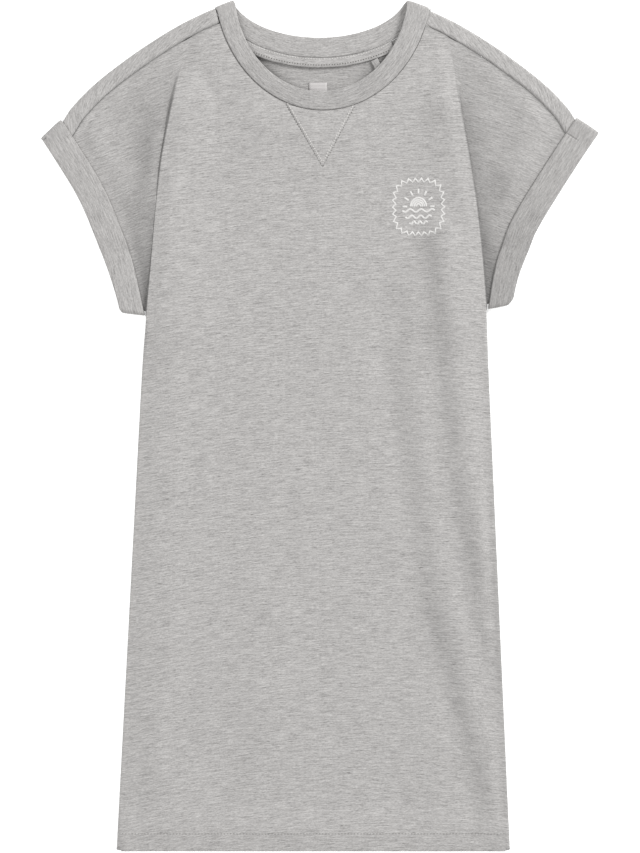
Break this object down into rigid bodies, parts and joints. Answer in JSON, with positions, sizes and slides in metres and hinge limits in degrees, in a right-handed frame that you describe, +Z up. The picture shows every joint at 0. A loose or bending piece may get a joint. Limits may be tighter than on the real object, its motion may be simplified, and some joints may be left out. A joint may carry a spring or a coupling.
{
  "type": "t-shirt dress",
  "caption": "Girl's short-sleeved t-shirt dress in grey marl jersey, laid flat: round neckband, stitched V, grown-on sleeves drawn down, turned-up cuffs",
  "frame": {"origin": "middle of the laid dress's box, on the surface that it lies on", "axes": "+X to the wearer's left, +Y from the hem to the neck, +Z up out of the front"},
  "size_m": [0.5132, 0.7816, 0.0102],
  "materials": {
    "body_jersey": "brushed-back cotton jersey in grey marl, matt, short dark and light streaks along the courses",
    "trim_jersey": "the same grey marl jersey, folded double",
    "label_satin": "plain white woven satin label"
  },
  "bodies": {
    "root": {"front_panel": "body_jersey", "back_panel": "body_jersey", "neckband": "trim_jersey", "neck_tape": "trim_jersey", "v_insert": "trim_jersey", "cuff_left": "trim_jersey", "cuff_right": "trim_jersey", "hanger_loop": "trim_jersey", "neck_label": "label_satin"}
  },
  "joints": []
}
